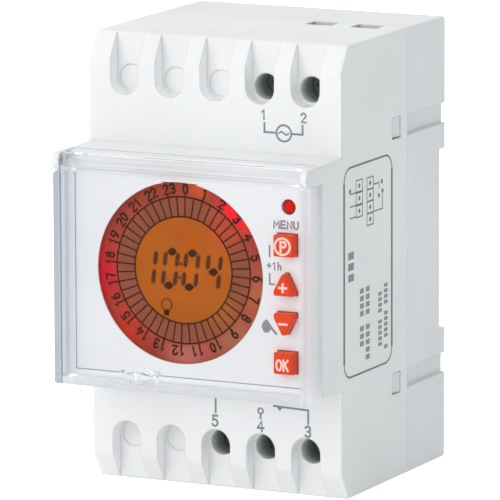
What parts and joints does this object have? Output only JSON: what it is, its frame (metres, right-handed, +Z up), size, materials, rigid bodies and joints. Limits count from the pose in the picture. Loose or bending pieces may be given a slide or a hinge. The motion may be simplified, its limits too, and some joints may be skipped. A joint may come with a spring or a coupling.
{
  "type": "din rail timer",
  "caption": "Three-module rail-mounted digital time switch with a stepped casing, round display, push keys, hinged clear cover, clamp terminals and a sliding rail clip.",
  "frame": {"origin": "middle of the rail seat: the plane of the rail's front face, halfway up the rail and halfway across the casing", "axes": "+X to the right seen from the front, +Y backwards through the rail, +Z up; the front looks along -Y"},
  "size_m": [0.053, 0.0629, 0.0864],
  "materials": {
    "housing_white": "fine satin moulded thermoplastic",
    "panel_white": "smooth satin plate",
    "cover_clear": "clear polycarbonate, polished",
    "window_clear": "clear acrylic, polished",
    "display_glass": "bonded display glass",
    "light_guide": "milky acrylic",
    "contact_rubber": "layered conductive silicone",
    "circuit_board": "solder resist over glass fibre",
    "lamp_red": "diffused epoxy",
    "black_plastic": "moulded",
    "tinned_steel": "bright plated",
    "cable_grey": "soft insulation",
    "header_white": "nylon",
    "relay_blue": "sealed case",
    "capacitor_yellow": "epoxy-filled box",
    "capacitor_sleeve": "shrink sleeve over aluminium",
    "varistor_blue": "dipped epoxy",
    "contact_brass": "tinned brass",
    "spring_steel": "hard-drawn wire",
    "clip_plastic": "moulded nylon",
    "button_red": "satin moulded keycap",
    "screw_steel": "zinc-plated",
    "cage_steel": "zinc-plated"
  },
  "bodies": {
    "casing": {"front_housing": "housing_white", "rear_base": "housing_white", "front_panel": "panel_white", "display_window": "window_clear", "lcd_glass": "display_glass", "lcd_backlight": "light_guide", "zebra_strips": "contact_rubber", "display_board": "circuit_board", "indicator_led": "lamp_red", "tact_switches": "black_plastic", "microcontroller": "black_plastic", "quartz_crystal": "tinned_steel", "battery_holder": "black_plastic", "backup_battery": "tinned_steel", "ribbon_cable": "cable_grey", "cable_headers": "header_white", "main_board": "circuit_board", "board_screws": "tinned_steel", "relay": "relay_blue", "supply_capacitor": "capacitor_yellow", "smoothing_capacitor": "capacitor_sleeve", "varistor": "varistor_blue", "contact_bars": "contact_brass", "clip_spring": "spring_steel"},
    "cover": {"clear_cover": "cover_clear"},
    "rail_clip": {"din_clip": "clip_plastic"},
    "program_key": {"program_button": "button_red", "program_switch_plunger": "black_plastic"},
    "plus_key": {"plus_button": "button_red", "plus_switch_plunger": "black_plastic"},
    "minus_key": {"minus_button": "button_red", "minus_switch_plunger": "black_plastic"},
    "ok_key": {"ok_button": "button_red", "ok_switch_plunger": "black_plastic"},
    "screw_1": {"terminal_screw_1": "screw_steel"},
    "cage_1": {"terminal_cage_1": "cage_steel"},
    "screw_2": {"terminal_screw_2": "screw_steel"},
    "cage_2": {"terminal_cage_2": "cage_steel"},
    "screw_3": {"terminal_screw_3": "screw_steel"},
    "cage_3": {"terminal_cage_3": "cage_steel"},
    "screw_4": {"terminal_screw_4": "screw_steel"},
    "cage_4": {"terminal_cage_4": "cage_steel"},
    "screw_5": {"terminal_screw_5": "screw_steel"},
    "cage_5": {"terminal_cage_5": "cage_steel"}
  },
  "joints": [
    {"name": "cover_hinge", "type": "hinge", "parent": "casing", "child": "cover", "pos_m": [0, -0.05765, 0.0205], "axis": [-1, 0, 0], "range_deg": [0, 115]},
    {"name": "program_press", "type": "slide", "parent": "casing", "child": "program_key", "axis": [0, 1, 0], "range_m": [0, 0.0005]},
    {"name": "plus_press", "type": "slide", "parent": "casing", "child": "plus_key", "axis": [0, 1, 0], "range_m": [0, 0.0005]},
    {"name": "minus_press", "type": "slide", "parent": "casing", "child": "minus_key", "axis": [0, 1, 0], "range_m": [0, 0.0005]},
    {"name": "ok_press", "type": "slide", "parent": "casing", "child": "ok_key", "axis": [0, 1, 0], "range_m": [0, 0.0005]},
    {"name": "clip_slide", "type": "slide", "parent": "casing", "child": "rail_clip", "axis": [0, 0, -1], "range_m": [0, 0.003], "deforming": ["clip_spring"]},
    {"name": "screw_1_turn", "type": "hinge", "parent": "casing", "child": "screw_1", "pos_m": [0.00948, -0.028, 0.0345], "axis": [0, 1, 0], "range_deg": [0, 1800]},
    {"name": "cage_1_rise", "type": "slide", "parent": "casing", "child": "cage_1", "axis": [0, -1, 0], "range_m": [0, 0.003]},
    {"name": "screw_2_turn", "type": "hinge", "parent": "casing", "child": "screw_2", "pos_m": [0.01896, -0.028, 0.0345], "axis": [0, 1, 0], "range_deg": [0, 1800]},
    {"name": "cage_2_rise", "type": "slide", "parent": "casing", "child": "cage_2", "axis": [0, -1, 0], "range_m": [0, 0.003]},
    {"name": "screw_3_turn", "type": "hinge", "parent": "casing", "child": "screw_3", "pos_m": [0.01896, -0.028, -0.0345], "axis": [0, 1, 0], "range_deg": [0, 1800]},
    {"name": "cage_3_rise", "type": "slide", "parent": "casing", "child": "cage_3", "axis": [0, -1, 0], "range_m": [0, 0.003]},
    {"name": "screw_4_turn", "type": "hinge", "parent": "casing", "child": "screw_4", "pos_m": [0.00948, -0.028, -0.0345], "axis": [0, 1, 0], "range_deg": [0, 1800]},
    {"name": "cage_4_rise", "type": "slide", "parent": "casing", "child": "cage_4", "axis": [0, -1, 0], "range_m": [0, 0.003]},
    {"name": "screw_5_turn", "type": "hinge", "parent": "casing", "child": "screw_5", "pos_m": [0, -0.028, -0.0345], "axis": [0, 1, 0], "range_deg": [0, 1800]},
    {"name": "cage_5_rise", "type": "slide", "parent": "casing", "child": "cage_5", "axis": [0, -1, 0], "range_m": [0, 0.003]}
  ],
  "couplings": [
    {"joint": "screw_1_turn", "follows": "cage_1_rise", "rad_per_m": 10472},
    {"joint": "screw_2_turn", "follows": "cage_2_rise", "rad_per_m": 10472},
    {"joint": "screw_3_turn", "follows": "cage_3_rise", "rad_per_m": 10472},
    {"joint": "screw_4_turn", "follows": "cage_4_rise", "rad_per_m": 10472},
    {"joint": "screw_5_turn", "follows": "cage_5_rise", "rad_per_m": 10472}
  ]
}
